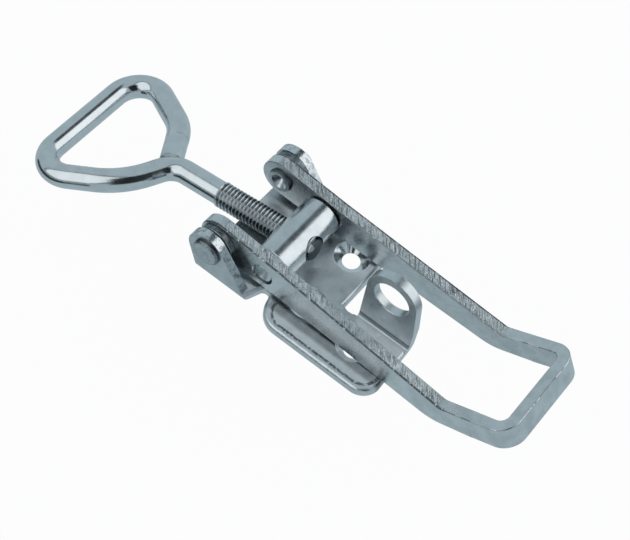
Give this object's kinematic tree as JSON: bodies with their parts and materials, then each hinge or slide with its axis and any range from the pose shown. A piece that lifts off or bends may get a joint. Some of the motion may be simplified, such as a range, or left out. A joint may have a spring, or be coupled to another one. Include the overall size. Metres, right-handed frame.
{
  "type": "over centre toggle latch",
  "caption": "Heavy folded-sheet toggle latch with a strap lever, a pivoting threaded barrel, an eye bolt and a padlock tab",
  "frame": {"origin": "on the mounting plane, under the lever's pivot and midway between the ears", "axes": "+X from the pivot toward the grip, +Z out of the mounting surface, the lever and the barrel turn about Y"},
  "size_m": [0.1684, 0.0516, 0.0373],
  "materials": {
    "base_plate": "bright zinc plate",
    "lever": "bright zinc plate",
    "pivot_rivet_left": "zinc plate",
    "pivot_rivet_right": "zinc plate",
    "pivot_washer_left": "zinc plate",
    "pivot_washer_right": "zinc plate",
    "trunnion_barrel": "polished zinc plate",
    "eye_bolt": "polished zinc plate"
  },
  "bodies": {
    "base": {"base_plate": "base_plate", "pivot_rivet_left": "pivot_rivet_left", "pivot_rivet_right": "pivot_rivet_right", "pivot_washer_left": "pivot_washer_left", "pivot_washer_right": "pivot_washer_right"},
    "lever": {"lever": "lever"},
    "barrel": {"trunnion_barrel": "trunnion_barrel"},
    "bolt": {"eye_bolt": "eye_bolt"}
  },
  "joints": [
    {"name": "lever_pivot", "type": "hinge", "parent": "base", "child": "lever", "pos_m": [0, 0, 0.01145], "axis": [0, -1, 0], "range_deg": [0, 160]},
    {"name": "barrel_pivot", "type": "hinge", "parent": "lever", "child": "barrel", "pos_m": [0.0156, 0, 0.0099], "axis": [0, 1, 0], "range_deg": [0, 160]},
    {"name": "bolt_turn", "type": "hinge", "parent": "barrel", "child": "bolt", "pos_m": [0.0156, 0, 0.0099], "axis": [-0.9877, 0, -0.1566], "continuous": true}
  ],
  "couplings": [
    {"joint": "barrel_pivot", "follows": "lever_pivot", "ratio": 1}
  ]
}
